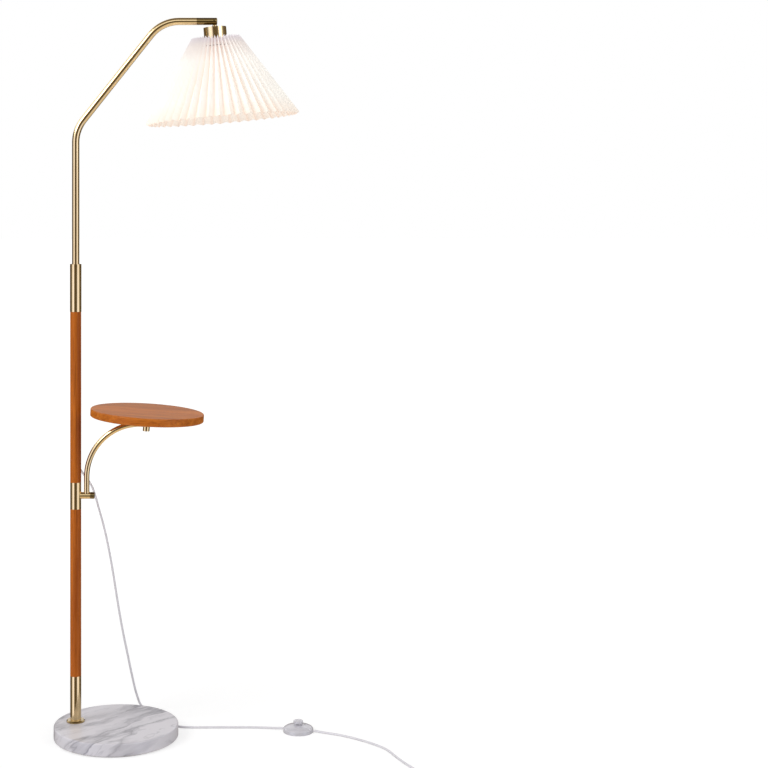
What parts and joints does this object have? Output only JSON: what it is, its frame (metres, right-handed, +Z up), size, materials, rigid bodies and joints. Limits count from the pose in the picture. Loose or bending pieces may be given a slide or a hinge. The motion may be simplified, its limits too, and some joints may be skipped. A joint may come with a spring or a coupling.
{
  "type": "bridge floor lamp",
  "caption": "Floor lamp with a round marble foot, wooden pole with brass sleeves, bent brass arm, tilting pleated shade, side shelf and foot switch on its cord.",
  "frame": {"origin": "centre of the foot pad's underside, on the floor", "axes": "+Z up; +X from the pole towards the shade along the arm; +Y towards the back, where the cord leaves the pole"},
  "size_m": [0.85, 0.5345, 1.569],
  "materials": {
    "foam": "matte closed-cell foam",
    "marble": "honed grey-white marble with grey veins",
    "steel": "zinc plated",
    "brass": "satin antique brass",
    "wood": "satin lacquered orange-brown wood",
    "wire_white": "insulated leads",
    "socket_ceramic": "glazed lamp socket",
    "shade_sheet": "white pleated laminated sheet",
    "bulb_metal": "pressed screw cap",
    "bulb_glass": "frosted glass",
    "cord_grey": "silvery clear insulation",
    "switch_grey": "smoky clear moulding",
    "black_plastic": "moulded",
    "plug_steel": "nickel plated brass"
  },
  "bodies": {
    "stand": {"floor_pad": "foam", "base_slab": "marble", "base_washer": "steel", "base_screw": "steel", "base_flange": "brass", "foot_plug": "steel", "lower_sleeve": "brass", "lower_joiner": "steel", "lower_pole": "wood", "tee_joiner": "steel", "tee_sleeve": "brass", "stub_knob": "brass", "upper_pole": "wood", "upper_joiner": "steel", "upper_sleeve": "brass", "arm_bush": "steel", "sleeve_screw": "steel", "arm_tube": "brass", "inner_lead": "wire_white", "head_collar": "brass", "cord_relief": "cord_grey", "cord_drop": "cord_grey", "switch_base": "switch_grey", "switch_cover": "switch_grey", "switch_module": "black_plastic", "switch_screws": "steel", "cord_tail": "cord_grey", "cord_coil": "cord_grey", "coil_tie": "black_plastic", "plug_body": "switch_grey", "plug_blades": "plug_steel"},
    "barrel": {"head_barrel": "brass", "barrel_screw": "steel", "tilt_pin": "steel"},
    "head": {"tilt_tongue": "brass", "neck_washer": "brass", "socket_cup": "brass", "stem_nut": "steel", "lamp_socket": "socket_ceramic", "shade_carrier": "steel", "carrier_ring_nut": "socket_ceramic", "shade": "shade_sheet", "bulb_cap": "bulb_metal", "bulb_glass": "bulb_glass"},
    "shelf": {"shelf_arm": "brass", "shelf_boss": "brass", "shelf_insert": "steel", "shelf_top": "wood"},
    "button": {"switch_button": "switch_grey"}
  },
  "joints": [
    {"name": "head_roll", "type": "hinge", "parent": "stand", "child": "barrel", "pos_m": [0.1865, 0.014, 1.56098], "axis": [1, 0, 0], "range_deg": [-90, 90]},
    {"name": "head_tilt", "type": "hinge", "parent": "barrel", "child": "head", "pos_m": [0.213, 0.014, 1.56098], "axis": [0, -1, 0], "range_deg": [-14, 45]},
    {"name": "shelf_swivel", "type": "hinge", "parent": "stand", "child": "shelf", "pos_m": [-0.066, 0.014, 0.524], "axis": [0, 0, 1], "range_deg": [-75, 75]},
    {"name": "button_press", "type": "slide", "parent": "stand", "child": "button", "axis": [0, 0, -1], "range_m": [0, 0.0025], "stiffness_N_per_m": 600, "springref_m": -0.002}
  ]
}
